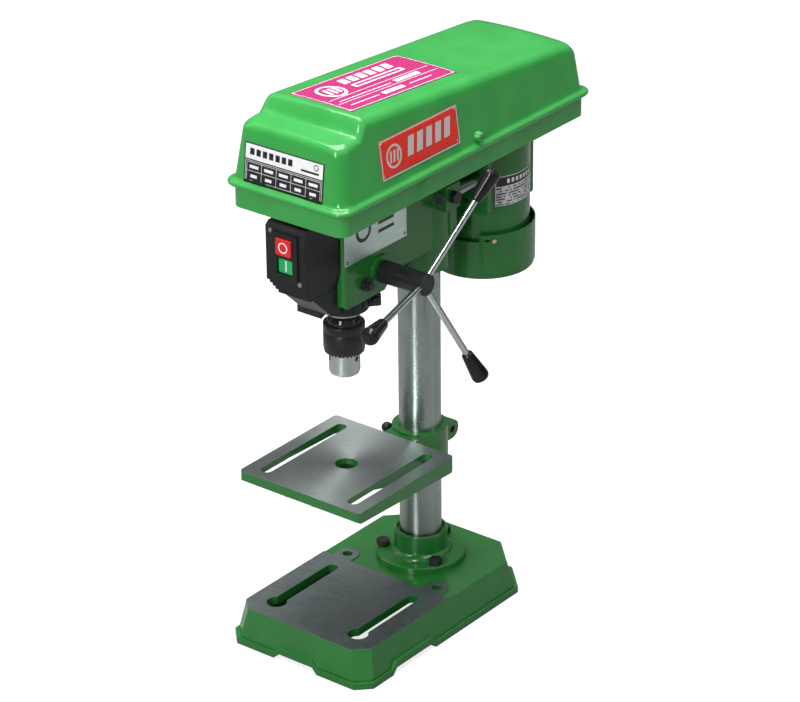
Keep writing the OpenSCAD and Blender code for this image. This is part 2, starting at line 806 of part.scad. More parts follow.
module rotor()
    color(steel) {
        rod_z(6, 366, 574, 0, motor_y);
        rod_z(24, 420, 480, 0, motor_y);
    }

module cooling_fan()
    color(black) {
        ring_z(12, 6, 366, 386, 0, motor_y);
        ring_z(42, 11, 384, 386, 0, motor_y);
        for (a = [0:45:315]) translate([0, motor_y, 0]) rotate(a) block([11, -1, 367], [41, 1, 385]);
    }

module tension_bolt()
    color(black) {
        rod_x(4, bar_x + bar_r + 0.1, 46.5, 0, bar_z);
        translate([46.2, 0, bar_z]) rotate([0, 90, 0]) hex_head(13, 6);
    }

// ---- assembly --------------------------------------------------------------

base();
column_flange();
flange_bolts();
column();
table();
clamp_bolt();
clamp_lever();
head_casting();
pan_screws();
set_screws();
guide_screw();
side_plate();
small_screws();
spring_cap();
return_spring();
pulley_pan();
pan_hinges();
drive_bearings();
drive_belt();
switch_box();
cable_gland();
lid();
lid_hinges();
top_label();
side_label();
front_label();
lid_screw();
quill();
quill_bearings();
stop_collar();
stop_rod();
collar_screw();
stop_nuts();
spindle_pulley();
drive_sleeve();
spindle();
chuck_body();
chuck_sleeve();
chuck_jaw_1();
chuck_jaw_2();
chuck_jaw_3();
pinion_shaft();
feed_hub();
feed_rods();
feed_knobs();
motor_bars();
motor_plate();
motor_shell();
stator();
motor_bearings();
fan_cover();
cover_screws();
motor_label();
capacitor_box();
rotor();
cooling_fan();
motor_pulley();
tension_bolt();
red_button();
green_button();
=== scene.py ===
"""Looks of the bench drill press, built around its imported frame.

Lengths in this script are millimetres until mesh_piece() turns them into metres.
"""

import json
import math

import bmesh
import bpy
from mathutils import Matrix, Vector
from mathutils.bvhtree import BVHTree

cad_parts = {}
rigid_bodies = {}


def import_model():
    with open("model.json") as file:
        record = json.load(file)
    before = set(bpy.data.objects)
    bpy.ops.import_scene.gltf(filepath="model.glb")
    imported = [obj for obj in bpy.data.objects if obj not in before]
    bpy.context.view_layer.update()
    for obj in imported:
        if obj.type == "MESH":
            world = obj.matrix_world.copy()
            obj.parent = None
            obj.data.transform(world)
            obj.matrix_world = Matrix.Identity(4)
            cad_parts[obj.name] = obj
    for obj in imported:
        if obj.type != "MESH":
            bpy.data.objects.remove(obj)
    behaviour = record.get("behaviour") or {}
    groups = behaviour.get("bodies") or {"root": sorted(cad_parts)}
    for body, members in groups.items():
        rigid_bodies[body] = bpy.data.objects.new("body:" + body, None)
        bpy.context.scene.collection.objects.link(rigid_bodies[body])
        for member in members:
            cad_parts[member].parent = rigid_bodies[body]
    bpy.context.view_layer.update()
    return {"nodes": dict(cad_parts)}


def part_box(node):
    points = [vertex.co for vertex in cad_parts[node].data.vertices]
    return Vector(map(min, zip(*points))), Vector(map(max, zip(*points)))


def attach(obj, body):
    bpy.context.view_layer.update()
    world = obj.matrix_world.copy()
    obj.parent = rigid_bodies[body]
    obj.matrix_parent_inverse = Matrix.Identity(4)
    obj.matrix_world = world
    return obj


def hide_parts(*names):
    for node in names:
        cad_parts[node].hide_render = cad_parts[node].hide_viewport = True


for leftover in list(bpy.data.objects):
    bpy.data.objects.remove(leftover)

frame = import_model()
nodes = frame["nodes"]

MM = 0.001
TAU = 2 * math.pi

LENS = 159.78
CAMERA_PLACE = (2.1046, -2.6997, 1.9549)
CAMERA_RIGHT = (0.78763, 0.61605, -0.00919)
CAMERA_UP = (-0.26322, 0.34995, 0.89903)
CAMERA_BACK = (0.5571, -0.7057, 0.4378)

# name: place, target, size, power
LIGHTS = {
    "key": ((0.62, -2.93, 1.75), (0, 0, 0.35), (0.55, 2.4), 66),
    "top": ((-0.3, 0.1, 3.2), (0, 0, 0.4), (2.2, 2.2), 124),
    "left": ((-2.8, -1.0, 1.9), (0, 0, 0.35), (1.2, 2.2), 8),
    "right": ((2.9, 1.0, 1.5), (0, 0, 0.35), (0.5, 2.0), 5),
}
FLOOR_HALF = 14.0
FLOOR_GLOW = 0.80
FLOOR_TONES = ((0.26, 0.26, 0.26), (0.29, 0.29, 0.29))
STUDIO_STRENGTH = 0.7


def box_mm(node):
    """Lowest and highest corner of a CAD node at rest, in millimetres."""
    low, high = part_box(node)
    return Vector(low) / MM, Vector(high) / MM


# ---- camera, light and floor ------------------------------------------------


def add_camera():
    """A long lens above the front right corner, as the object was pictured."""
    data = bpy.data.cameras.new("camera")
    data.lens = LENS
    data.sensor_width = 36
    data.clip_end = 60
    camera = bpy.data.objects.new("camera", data)
    bpy.context.scene.collection.objects.link(camera)
    turn = Matrix((CAMERA_RIGHT, CAMERA_UP, CAMERA_BACK)).transposed()
    camera.matrix_world = Matrix.Translation(CAMERA_PLACE) @ turn.to_4x4()
    bpy.context.scene.camera = camera


def add_area_light(name, place, target, size, power):
    """A white rectangular light at place, turned towards target."""
    data = bpy.data.lights.new(name, "AREA")
    data.shape = "RECTANGLE"
    data.size, data.size_y = size
    data.energy = power
    light = bpy.data.objects.new(name, data)
    light.location = place
    aim = Vector(target) - Vector(place)
    light.rotation_euler = aim.to_track_quat("-Z", "Y").to_euler()
    bpy.context.scene.collection.objects.link(light)


def add_world():
    """A studio bright overhead and dark round the horizon, for contrast on metal and enamel."""
    world = bpy.data.worlds.new("studio")
    bpy.context.scene.world = world
    world.use_nodes = True
    tree = world.node_tree
    coords = tree.nodes.new("ShaderNodeTexCoord")
    split = tree.nodes.new("ShaderNodeSeparateXYZ")
    ramp = tree.nodes.new("ShaderNodeValToRGB").color_ramp
    ramp.elements[0].position = 0.05
    ramp.elements[0].color = (0.10, 0.105, 0.11, 1)
    ramp.elements[1].position = 0.75
    ramp.elements[1].color = (1.0, 1.0, 1.0, 1)
    middle = ramp.elements.new(0.45)
    middle.color = (0.30, 0.305, 0.31, 1)
    back = tree.nodes["Background"]
    back.inputs["Strength"].default_value = STUDIO_STRENGTH
    tree.links.new(coords.outputs["Generated"], split.inputs[0])
    tree.links.new(split.outputs["Z"], tree.nodes["Color Ramp"].inputs[0])
    tree.links.new(tree.nodes["Color Ramp"].outputs[0], back.inputs["Color"])


def add_floor():
    """A plain floor whose own light is seen by the camera alone, so it doesn't light the object."""
    half = FLOOR_HALF
    corners = [(-half, -half, 0), (half, -half, 0), (half, half, 0), (-half, half, 0)]
    mesh = bpy.data.meshes.new("floor")
    mesh.from_pydata(corners, [], [(0, 1, 2, 3)])
    floor = bpy.data.objects.new("floor", mesh)
    bpy.context.scene.collection.objects.link(floor)
    look = Look("studio_floor")
    grain = look.noise(30, 3)
    look.set("Base Color", look.mix(grain, *FLOOR_TONES))
    look.set("Roughness", 0.9)
    seen = look.tree.nodes.new("ShaderNodeLightPath").outputs["Is Camera Ray"]
    look.set("Emission Color", (1, 1, 1, 1))
    look.set("Emission Strength", look.math("MULTIPLY", seen, FLOOR_GLOW))
    floor.data.materials.append(look.material)


# ---- materials --------------------------------------------------------------


class Look:
    """A procedural material, with short calls for the nodes that the looks below share."""

    def __init__(self, name):
        self.material = bpy.data.materials.new(name)
        self.material.use_nodes = True
        self.tree = self.material.node_tree
        self.shader = self.tree.nodes["Principled BSDF"]
        self.coords = self.tree.nodes.new("ShaderNodeTexCoord").outputs["Object"]

    def node(self, kind, *values, **settings):
        """Adds a node, with its settings made and its first sockets plugged."""
        made = self.tree.nodes.new("ShaderNode" + kind)
        for key, value in settings.items():
            setattr(made, key, value)
        for index, value in enumerate(values):
            self.plug(made.inputs[index], value)
        return made

    def plug(self, socket, value):
        """Links a socket to an output, or gives it a constant. None leaves it alone."""
        if value is None:
            return
        if isinstance(value, bpy.types.NodeSocket):
            self.tree.links.new(value, socket)
        elif hasattr(value, "__len__") and len(value) == 3 and len(socket.default_value) == 4:
            socket.default_value = (*value, 1)
        else:
            socket.default_value = value

    def set(self, name, value):
        self.plug(self.shader.inputs[name], value)

    def math(self, operation, *values):
        return self.node("Math", *values, operation=operation).outputs[0]

    def axis(self, index):
        return self.node("SeparateXYZ", self.coords).outputs[index]

    def scaled(self, scale, vector=None):
        return self.node("VectorMath", vector or self.coords, scale, operation="MULTIPLY").outputs[0]

    def noise(self, scale, detail=2.0, stretch=(1, 1, 1), vector=None):
        """Noise with about scale features a metre, stretched by stretch."""
        made = self.node("TexNoise")
        self.plug(made.inputs["Vector"], self.scaled(stretch, vector))
        made.inputs["Scale"].default_value = scale
        made.inputs["Detail"].default_value = detail
        return made.outputs[0]

    def span(self, value, low, high):
        """Noise is mostly between 0.3 and 0.7: this spreads it between low and high."""
        made = self.node("MapRange", value, 0.3, 0.7, low, high)
        return made.outputs[0]

    def above(self, value, edge, blur=0.0002):
        """0 below edge and 1 above it."""
        return self.node("MapRange", value, edge - blur, edge + blur, 0.0, 1.0).outputs[0]

    def mix(self, factor, a, b):
        made = self.tree.nodes.new("ShaderNodeMix")
        made.data_type = "RGBA"
        self.plug(made.inputs[0], factor)
        self.plug(made.inputs[6], a)
        self.plug(made.inputs[7], b)
        return made.outputs[2]

    def between(self, value, low, high, blur=0.0001):
        """1 between low and high, 0 outside."""
        under = self.math("SUBTRACT", 1.0, self.above(value, high, blur))
        return self.math("MULTIPLY", self.above(value, low, blur), under)

    def both(self, *masks):
        """1 where every mask is 1."""
        total = masks[0]
        for mask in masks[1:]:
            total = self.math("MULTIPLY", total, mask)
        return total

    def either(self, *masks):
        """1 where any mask is 1."""
        total = masks[0]
        for mask in masks[1:]:
            total = self.math("MAXIMUM", total, mask)
        return total

    def distance(self, point, axes=(1, 1, 1)):
        """Distance from a point, measured only along the axes that are 1."""
        away = self.node("VectorMath", self.coords, point, operation="SUBTRACT").outputs[0]
        return self.node("VectorMath", self.scaled(axes, away), operation="LENGTH").outputs[1]

    def ink(self, mask, colour, roughness=0.35):
        """Prints a colour over the look wherever mask is 1."""
        under = self.shader.inputs["Base Color"].links[0].from_socket
        self.set("Base Color", self.mix(mask, under, colour))
        metal = self.shader.inputs["Metallic"]
        if metal.default_value > 0:
            self.set("Metallic", self.math("SUBTRACT", 1.0, mask))
            gloss = self.shader.inputs["Roughness"].links[0].from_socket
            self.set("Roughness", self.node("MapRange", mask, 0.0, 1.0, gloss, roughness).outputs[0])

    def stretch_highlight(self, direction, amount):
        """Stretches highlights along a direction in object space, as fine turning or grinding marks do."""
        self.set("Anisotropic", amount)
        turned = self.node("VectorTransform", direction, vector_type="VECTOR", convert_from="OBJECT",
                           convert_to="WORLD")
        self.set("Tangent", turned.outputs[0])

    def bump(self, height, strength, distance, normal=None):
        made = self.tree.nodes.new("ShaderNodeBump")
        made.inputs["Strength"].default_value = strength
        made.inputs["Distance"].default_value = distance
        self.plug(made.inputs["Height"], height)
        self.plug(made.inputs["Normal"], normal)
        return made.outputs[0]

    def rounded(self, radius):
        """Normals that round an edge by radius, in metres."""
        made = self.tree.nodes.new("ShaderNodeBevel")
        made.samples = 4
        made.inputs["Radius"].default_value = radius
        return made.outputs[0]

    def facing_up(self):
        """1 on faces that look up, 0 on the others."""
        normal = self.tree.nodes.new("ShaderNodeNewGeometry").outputs["True Normal"]
        return self.above(self.node("SeparateXYZ", normal).outputs[2], 0.95, 0.02)


def enamel(name, colour, skin=0.25, edge=0.0006, roughness=(0.17, 0.27)):
    """Glossy enamel over a casting or a pressing. skin is how rough the metal under it is."""
    look = Look(name)
    dark = tuple(c * 0.86 for c in colour)
    look.set("Base Color", look.mix(look.span(look.noise(26, 4), 0, 1), dark, colour))
    look.set("Roughness", look.span(look.noise(90, 3), *roughness))
    look.set("Coat Weight", ENAMEL_COAT)
    look.set("Specular IOR Level", 0.38)
    look.set("Coat Roughness", 0.07)
    peel = look.bump(look.noise(520, 2), skin * 0.35, 0.0004, look.rounded(edge))
    look.set("Normal", look.bump(look.noise(95, 3), skin, 0.0009, peel))
    return look


def bare_steel(name, colour, roughness, stretch=(1, 1, 1), edge=0.0003, tint=0.82):
    """Machined metal whose fine marks run along the axes that stretch leaves short."""
    look = Look(name)
    marks = look.noise(420, 4, stretch)
    worn = look.noise(35, 3)
    dark = tuple(c * tint for c in colour)
    look.set("Base Color", look.mix(look.span(marks, 0, 1), dark, colour))
    look.set("Metallic", 1.0)
    look.set("Roughness", look.span(worn, roughness * 0.8, roughness * 1.25))
    look.set("Normal", look.bump(marks, 0.12, 0.0002, look.rounded(edge)))
    return look


def ring_marks(look, centre, across=900, along=2.5):
    """Noise in circles round a vertical axis through centre, as on a turned face, and the way outward."""
    moved = look.node("VectorMath", look.coords, centre, operation="SUBTRACT").outputs[0]
    parts = look.node("SeparateXYZ", moved)
    x, y = parts.outputs[0], parts.outputs[1]
    squares = look.math("ADD", look.math("MULTIPLY", x, x), look.math("MULTIPLY", y, y))
    radius = look.math("MULTIPLY", look.math("SQRT", squares), across)
    turn = look.math("MULTIPLY", look.math("ARCTAN2", y, x), along)
    place = look.node("CombineXYZ", radius, turn, 0.0)
    made = look.node("TexNoise")
    look.plug(made.inputs["Vector"], place.outputs[0])
    made.inputs["Scale"].default_value = 1.0
    made.inputs["Detail"].default_value = 3.0
    outward = look.node("CombineXYZ", x, y, 0.0).outputs[0]
    return made.outputs[0], outward


def painted_with_ground_top(name, steel, top, marks, roughness):
    """Enamel, with bare ground steel on the faces that look up at or above the height top."""
    look = enamel(name, PAINT, skin=0.3)
    bare = look.math("MULTIPLY", look.facing_up(), look.above(look.axis(2), top, 0.0001))
    marks, tangent = marks(look)
    painted = look.shader.inputs["Base Color"].links[0].from_socket
    dark = tuple(c * 0.72 for c in steel)
    stained = look.mix(look.span(look.noise(22, 4), 0, 1), dark, steel)
    ground = look.mix(look.span(marks, 0.0, 0.75), stained, tuple(c * 1.18 for c in steel))
    look.set("Base Color", look.mix(bare, painted, ground))
    look.set("Metallic", bare)
    gloss = look.shader.inputs["Roughness"].links[0].from_socket
    rough = look.node("MapRange", bare, 0.0, 1.0, gloss, roughness).outputs[0]
    look.set("Roughness", rough)
    look.set("Coat Weight", look.math("MULTIPLY", look.math("SUBTRACT", 1.0, bare), GROUND_TOP_COAT))
    normal = look.shader.inputs["Normal"].links[0].from_socket
    ground_normal = look.bump(marks, 0.22, 0.0002, look.rounded(0.0005))
    look.set("Normal", look.mix(bare, normal, ground_normal))
    if tangent is not None:
        look.stretch_highlight(tangent, 0.75)
    return look


def plastic(name, colour, roughness, edge, grain):
    """Moulded plastic, rubber or blackened steel. grain is how coarse its skin is."""
    look = Look(name)
    light = tuple(c * 1.3 + 0.003 for c in colour)
    look.set("Base Color", look.mix(look.span(look.noise(60, 3), 0, 1), colour, light))
    look.set("Roughness", look.span(look.noise(200, 3), *roughness))
    look.set("Normal", look.bump(look.noise(1400, 2), grain, 0.0002, look.rounded(edge)))
    look.set("Specular IOR Level", 0.35)
    return look


def printed(name, colour, roughness=0.3):
    """Screen print: flat ink with a faint mottle."""
    look = Look(name)
    dark = tuple(c * 0.93 for c in colour)
    look.set("Base Color", look.mix(look.span(look.noise(160, 2), 0, 1), dark, colour))
    look.set("Roughness", look.span(look.noise(400, 2), roughness * 0.85, roughness * 1.15))
    look.set("Normal", look.bump(look.noise(900, 2), 0.05, 0.0001))
    return look


PAINT = (0.016, 0.165, 0.026)
LID_PAINT = (0.040, 0.350, 0.066)
STEEL = (0.42, 0.44, 0.44)
UPRIGHT = (0, 0, 1)
ENAMEL_COAT = 0.3
GROUND_TOP_COAT = 0.5
WHITE_MARK = (0.85, 0.85, 0.85)
LABEL_START, LABEL_END = -38.5, 27.5


def make_looks():
    """Every material by its short name. Heights come from the frame."""
    spindle_y = box_mm("spindle")[0].y / 2 + box_mm("spindle")[1].y / 2
    table_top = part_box("table")[1][2]
    pad_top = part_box("base")[1][2]
    chuck_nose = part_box("chuck_sleeve")[0][2] + 0.0006

    def circles(look):
        return ring_marks(look, (0, spindle_y * MM, 0))

    def strokes(look):
        return look.noise(300, 4, (0.25, 1, 1)), None

    looks = {
        "casting": enamel("casting_enamel", PAINT),
        "lid": enamel("lid_enamel", LID_PAINT, skin=0.10, roughness=(0.13, 0.22)),
        "base": painted_with_ground_top("base_enamel", (0.20, 0.235, 0.235), pad_top - 0.0004,
                                        strokes, 0.42),
        "table": painted_with_ground_top("table_enamel", (0.42, 0.47, 0.455), table_top - 0.0003,
                                         circles, 0.33),
        "column": bare_steel("ground_column", (0.40, 0.46, 0.43), 0.30, (1, 1, 12), tint=0.9),
        "steel": bare_steel("bright_steel", STEEL, 0.24, (1, 1, 6)),
        "chrome": bare_steel("chrome_plate", (0.62, 0.65, 0.65), 0.13, (0.6, 0.6, 0.6), tint=0.95),
        "aluminium": bare_steel("cast_aluminium", (0.72, 0.73, 0.73), 0.3, (1, 1, 8)),
        "brass": bare_steel("brass_plate", (0.78, 0.62, 0.30), 0.25),
        "copper": bare_steel("varnished_copper", (0.55, 0.22, 0.09), 0.35, (1, 1, 10)),
        "black_steel": plastic("black_oxide", (0.012, 0.012, 0.014), (0.25, 0.38), 0.0004, 0.2),
        "plastic": plastic("black_moulding", (0.006, 0.007, 0.007), (0.30, 0.40), 0.0006, 0.03),
        "knob": plastic("polished_black", (0.006, 0.006, 0.007), (0.08, 0.14), 0.0006, 0.02),
        "rubber": plastic("belt_rubber", (0.013, 0.013, 0.013), (0.6, 0.75), 0.0003, 0.3),
        "red": plastic("red_moulding", (0.62, 0.012, 0.02), (0.22, 0.3), 0.0008, 0.03),
        "green": plastic("green_moulding", (0.012, 0.38, 0.10), (0.22, 0.3), 0.0008, 0.03),
        "satin_plate": bare_steel("satin_aluminium", (0.72, 0.86, 0.81), 0.42, (1, 0.12, 1), tint=0.88),
        "magenta": printed("magenta_foil", (0.44, 0.022, 0.15)),
        "red_foil": printed("red_foil", (0.78, 0.025, 0.012)),
        "white_ink": printed("white_ink", (0.84, 0.85, 0.86)),
        "black_ink": printed("black_ink", (0.012, 0.012, 0.014)),
        "silver_ink": printed("silver_edge", (0.58, 0.56, 0.55), 0.25),
    }
    looks["column"].stretch_highlight(UPRIGHT, 0.9)
    chuck = bare_steel("chuck_metal", (0.66, 0.72, 0.69), 0.3, (1, 1, 14), tint=0.8)
    chuck.stretch_highlight(UPRIGHT, 0.8)
    chuck.ink(chuck.above(chuck.axis(2), chuck_nose, 0.0003), (0.010, 0.010, 0.012), 0.12)
    looks["chuck"] = chuck
    mark_buttons(looks)
    mark_side_plate(looks["satin_plate"])
    mark_rod_ends(looks["chrome"])
    looks["motor_label"] = motor_label_look()
    return looks


def mark_buttons(looks):
    """A white ring on the stop button and a white bar on the start button."""
    low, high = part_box("red_button")
    ring = looks["red"].distance(((low[0] + high[0]) / 2, 0, (low[2] + high[2]) / 2), (1, 0, 1))
    looks["red"].ink(looks["red"].between(ring, 0.0046, 0.0059), WHITE_MARK)
    low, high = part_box("green_button")
    look = looks["green"]
    bar = look.both(look.between(look.axis(0), -0.0008, 0.0008),
                    look.between(look.axis(2), low[2] + 0.0024, high[2] - 0.0024))
    look.ink(bar, WHITE_MARK)


def mark_side_plate(look):
    """A plain black ring and three bars: a generic mark on the plate at the head's side."""
    low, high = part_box("side_plate")
    middle_y, middle_z = (low[1] + high[1]) / 2, (low[2] + high[2]) / 2
    ring = look.between(look.distance((0, middle_y - 0.020, middle_z), (0, 1, 1)), 0.0085, 0.0125)
    rows = [look.between(look.axis(2), middle_z + step - 0.0019, middle_z + step + 0.0019)
            for step in (-0.0095, 0, 0.0095)]
    bars = look.both(look.either(*rows), look.between(look.axis(1), middle_y + 0.004, middle_y + 0.030))
    look.ink(look.either(ring, bars), (0.015, 0.016, 0.018))


def mark_rod_ends(look):
    """Blackens the rods' outer ends, which show in the ends of the knobs."""
    hub_low, hub_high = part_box("feed_hub")
    axis = (0, (hub_low[1] + hub_high[1]) / 2, (hub_low[2] + hub_high[2]) / 2)
    reach = axis[1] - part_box("feed_knobs")[0][1]
    look.ink(look.above(look.distance(axis, (0, 1, 1)), reach - 0.0075), (0.006, 0.006, 0.007), 0.15)


def motor_label_look():
    """A foil label round the motor: a black head with white bars, then rows of dashes on silver."""
    low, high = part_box("motor_label")
    axis_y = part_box("rotor")[0][1] / 2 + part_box("rotor")[1][1] / 2
    look = printed("motor_foil", (0.62, 0.64, 0.63))
    turn = look.math("ARCTAN2", look.math("SUBTRACT", look.axis(1), axis_y), look.axis(0))
    round_it = look.math("MULTIPLY", turn, high[0])
    height = look.axis(2)
    head = high[2] - 0.0115
    start, end = math.radians(LABEL_START) * high[0], math.radians(LABEL_END) * high[0]
    row, column = 0.0031, 0.0021
    rows = look.math("DIVIDE", look.math("SUBTRACT", height, low[2]), row)
    columns = look.math("DIVIDE", round_it, column)
    cell = look.node("CombineXYZ", look.math("FLOOR", columns), look.math("FLOOR", rows), 0.0).outputs[0]
    random = look.tree.nodes.new("ShaderNodeTexWhiteNoise")
    look.plug(random.inputs["Vector"], cell)
    words = look.both(look.above(random.outputs[0], 0.38, 0.01),
                      look.between(look.math("FRACT", rows), 0.25, 0.72, 0.05))
    bars = look.math("FRACT", look.math("DIVIDE", round_it, 0.0058))
    title = look.both(look.between(height, head + 0.0028, head + 0.0078),
                      look.between(round_it, start + 0.012, end - 0.006), look.above(bars, 0.42, 0.02))
    inside = look.both(look.between(height, low[2] + 0.0011, high[2] - 0.0011),
                       look.between(round_it, start + 0.0011, end - 0.0011))
    line = look.both(look.between(height, head - 0.0007, head), inside)
    below = look.math("SUBTRACT", 1.0, look.above(height, head - 0.0015))
    look.ink(look.both(words, inside, below), (0.02, 0.02, 0.022))
    look.ink(look.both(inside, look.above(height, head)), (0.012, 0.013, 0.014))
    look.ink(look.either(title, line), (0.78, 0.8, 0.8))
    return look


CAD_LOOKS = {
    "casting": ["column_flange", "head_casting", "motor_plate", "motor_shell", "fan_cover", "capacitor_box"],
    "lid": ["lid", "lid_screw", "pulley_pan"],
    "base": ["base"],
    "table": ["table"],
    "column": ["column"],
    "steel": ["set_screws", "pan_screws", "small_screws", "quill", "quill_bearings", "drive_bearings",
              "stop_rod", "stop_nuts", "drive_sleeve", "spindle", "chuck_jaw_1", "chuck_jaw_2",
              "chuck_jaw_3", "pinion_shaft", "motor_bars", "motor_bearings", "rotor", "pan_hinges",
              "lid_hinges", "return_spring"],
    "chuck": ["chuck_body"],
    "chrome": ["feed_rods"],
    "brass": ["cover_screws"],
    "copper": ["stator"],
    "aluminium": ["spindle_pulley", "motor_pulley"],
    "black_steel": ["flange_bolts", "clamp_bolt", "clamp_lever", "guide_screw", "stop_collar", "collar_screw",
                    "tension_bolt", "spring_cap", "feed_hub", "chuck_sleeve"],
    "motor_label": ["motor_label"],
    "plastic": ["switch_box", "cable_gland", "cooling_fan"],
    "knob": ["feed_knobs"],
    "rubber": ["drive_belt"],
    "red": ["red_button"],
    "green": ["green_button"],
    "satin_plate": ["side_plate"],
    "black_ink": ["top_label", "side_label", "front_label"],
}


# ---- shared shapes ----------------------------------------------------------

END_POINTS, CORNER_POINTS = 10, 9


def mesh_piece(name, points, faces, look, body):
    """A shown piece from points in millimetres, riding on a CAD body."""
    mesh = bpy.data.meshes.new(name)
    mesh.from_pydata([Vector(p) * MM for p in points], [], faces)
    mesh.validate()
    build = bmesh.new()
    build.from_mesh(mesh)
    bmesh.ops.recalc_face_normals(build, faces=build.faces)
    build.to_mesh(mesh)
    build.free()
    mesh.polygons.foreach_set("use_smooth", [True] * len(mesh.polygons))
    mesh.materials.append(looks[look].material)
    piece = bpy.data.objects.new(name, mesh)
    bpy.context.scene.collection.objects.link(piece)
    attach(piece, body)
    return piece


def strips(rings):
    """Points and faces that join closed rings of equally many points, one ring after another."""
    count = len(rings[0])
    points = [p for ring in rings for p in ring]
    faces = []
    for i in range(len(rings) - 1):
        for k in range(count):
            a, b = i * count + k, i * count + (k + 1) % count
            faces.append((a, b, b + count, a + count))
    return points, faces


def rounded_outline(half_x, front, back, radius, side_stations):
    """Points round a rectangle with round corners, always as many, counter-clockwise from the front."""
    ends, turns = END_POINTS, CORNER_POINTS
    points = []
    for k in range(ends):
        points.append((-half_x + radius + (2 * half_x - 2 * radius) * k / ends, front))

    def corner(x, y, start):
        for k in range(turns):
            a = math.radians(start + 90 * k / turns)
            points.append((x + radius * math.cos(a), y + radius * math.sin(a)))

    length = back - front - 2 * radius
    corner(half_x - radius, front + radius, -90)
    points.extend((half_x, front + radius + length * s) for s in side_stations)
    corner(half_x - radius, back - radius, 0)
    for k in range(ends):
        points.append((half_x - radius - (2 * half_x - 2 * radius) * k / ends, back))
    corner(radius - half_x, back - radius, 90)
    points.extend((-half_x, front + radius + length * s) for s in reversed(side_stations))
    corner(radius - half_x, front + radius, 180)
    return points


def soften(node, width):
    """Rounds the sharp edges of a CAD node by a modifier, which leaves its own mesh alone."""
    piece = nodes[node]
    weld = piece.modifiers.new("weld", "WELD")
    weld.merge_threshold = 0.00002
    flat = piece.modifiers.new("flat", "DECIMATE")
    flat.decimate_type = "DISSOLVE"
    flat.angle_limit = math.radians(1)
    bevel = piece.modifiers.new("bevel", "BEVEL")
    bevel.width = width * MM
    bevel.segments = 3
    bevel.limit_method = "ANGLE"
    bevel.angle_limit = math.radians(30)
    bevel.use_clamp_overlap = True
    even = piece.modifiers.new("even", "WEIGHTED_NORMAL")
    even.keep_sharp = False


# ---- pulley case ------------------------------------------------------------

LID_FOOT = 538.0
LID_HALF = 75.0
LID_DRAFT = 0.142
ROOF_HALF = 63.0
LID_FRONT, LID_BACK, LID_CORNER = -215.5, 198, 14
LID_SHEET = 1.6
BEAD_X, BEAD_Z, BEAD_R = 76.1, LID_FOOT + 3.5, 3.4


def blend(edge0, edge1, value):
    """A smooth step from 0 at edge0 to 1 at edge1."""
    t = min(max((value - edge0) / (edge1 - edge0), 0), 1)
    return t * t * (3 - 2 * t)


def roof(x, y):
    """Height of the lid's top: a shelf in front, a curved step, and a crowned roof that falls behind."""
    across = max(1 - (x / ROOF_HALF) ** 2, 0)
    bow = -3 * across
    shelf = 606 + 0.1 * (y + 206)
    top = 623.8 - 0.072 * (y + 150)
    step = blend(-179 + bow, -164 + bow, y)
    crown = (1.5 + 0.7 * step) * across
    tail = 7 * blend(160, 200, y) ** 2
    return shelf + (top - shelf) * step + crown - tail


def lid_height(inset, x, y):
    """Height of the lid's skin where its wall has leaned in by inset."""
    top = roof(x, y)
    radius = 9.5 + 2.5 * blend(-185, -160, y)
    lean = math.atan(1 / LID_DRAFT)
    reach = radius * math.tan(lean / 2)
    meet = (top - LID_FOOT) * LID_DRAFT
    start = meet - reach * math.cos(lean)
    end = meet + reach
    if inset <= start:
        return LID_FOOT + inset / LID_DRAFT
    if inset < end:
        return top - radius + math.sqrt(max(radius ** 2 - (inset - end) ** 2, 0))
    return top


def lid_stations():
    """Where points lie along the lid's long sides: close together at the step."""
    near = [0.005 * k for k in range(1, 30)]
    middle = [0.15 + 0.012 * k for k in range(10)]
    far = [0.27 + 0.029 * k for k in range(25)]
    return near + middle + far


def lid_ring(inset, height=None):
    """One ring of the lid's skin. A negative inset stands out over the bead."""
    stations = lid_stations()
    if inset < 0:
        front, back = LID_FRONT + 1.44 * inset, LID_BACK - 1.78 * inset
        radius = LID_CORNER - 0.4 * inset
    else:
        front, back = LID_FRONT + 0.78 * inset, LID_BACK - 0.72 * inset
        radius = LID_CORNER - 0.1 * inset
    half = LID_HALF - inset
    radius = min(radius, half * 0.9)
    flat = rounded_outline(half, front, back, radius, stations)
    if height is not None:
        return [(x, y, height) for x, y in flat]
    return [(x, y, lid_height(inset, x, y)) for x, y in flat]


def lid_rings():
    """The lid's skin from its lower edge, round the bead, up the wall and over the roof."""
    rings = [lid_ring(4.0, LID_FOOT + 0.6), lid_ring(2.0, LID_FOOT + 0.1)]
    for k in range(9):
        a = math.radians(-85 + 18 * k)
        rings.append(lid_ring(LID_HALF - BEAD_X - BEAD_R * math.cos(a), BEAD_Z + BEAD_R * math.sin(a)))
    rings += [lid_ring(-1.1, LID_FOOT + 7.2), lid_ring(0.3, LID_FOOT + 8.0), lid_ring(1.15, LID_FOOT + 9.2)]
    insets = [1.8, 2.8, 4, 5.5, 6.5] + [7 + 0.55 * k for k in range(35)]
    insets += [27 + 1.5 * k for k in range(31)] + [73]
    return rings + [lid_ring(inset) for inset in insets]


def roof_faces(first):
    """Faces that close the roof inside its last ring, whose points start at first."""
    ends, turns, side = END_POINTS, CORNER_POINTS, len(lid_stations())
    right = [first + ends + turns + k for k in range(side)]
    left = [first + 2 * ends + 3 * turns + 2 * side - 1 - k for k in range(side)]
    faces = [(right[k], right[k + 1], left[k + 1], left[k]) for k in range(side - 1)]
    ring = [first + k for k in range(2 * ends + 4 * turns + 2 * side)]
    faces.append(tuple(ring[ends + turns + side - 1:2 * ends + 3 * turns + side + 1]))
    faces.append(tuple(ring[2 * ends + 3 * turns + 2 * side - 1:] + ring[:ends + turns + 1]))
    return faces


